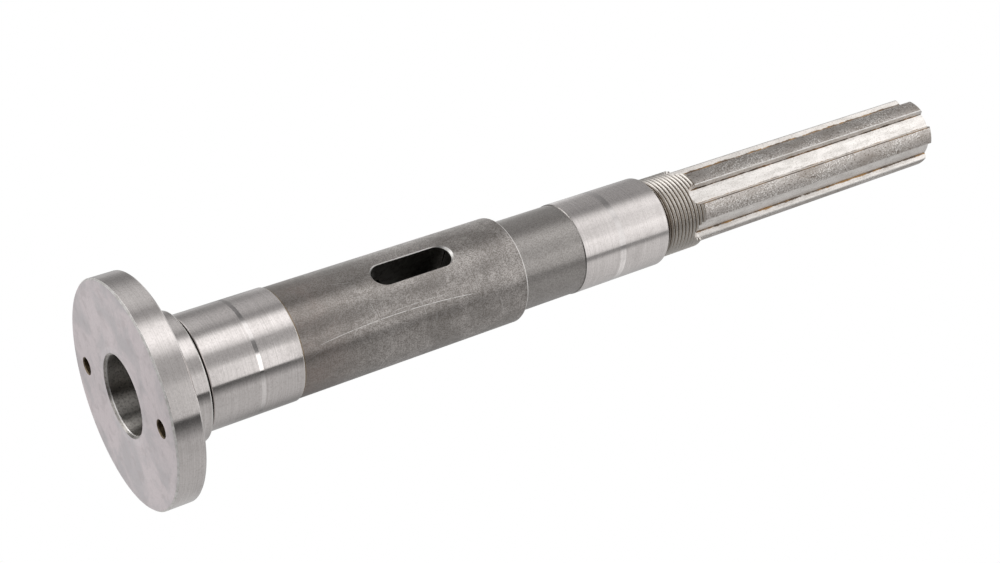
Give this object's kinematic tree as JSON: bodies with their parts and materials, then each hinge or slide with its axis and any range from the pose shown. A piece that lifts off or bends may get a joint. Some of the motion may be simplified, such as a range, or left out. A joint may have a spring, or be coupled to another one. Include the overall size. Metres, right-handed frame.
{
  "type": "milling machine spindle",
  "caption": "Flanged milling machine spindle with a taper socket, drift slot, bearing seats, nut thread and splined drive end.",
  "frame": {"origin": "centre of the nose flange's front face, where the taper socket opens", "axes": "+Z along the axis of rotation from the nose to the splined end, +X along the drift slot, which crosses the shaft"},
  "size_m": [0.0684, 0.0684, 0.312],
  "materials": {
    "ground_steel": "turned and ground steel, bare and lightly oiled, with a mottled unground body"
  },
  "bodies": {
    "root": {"spindle": "ground_steel"}
  },
  "joints": []
}
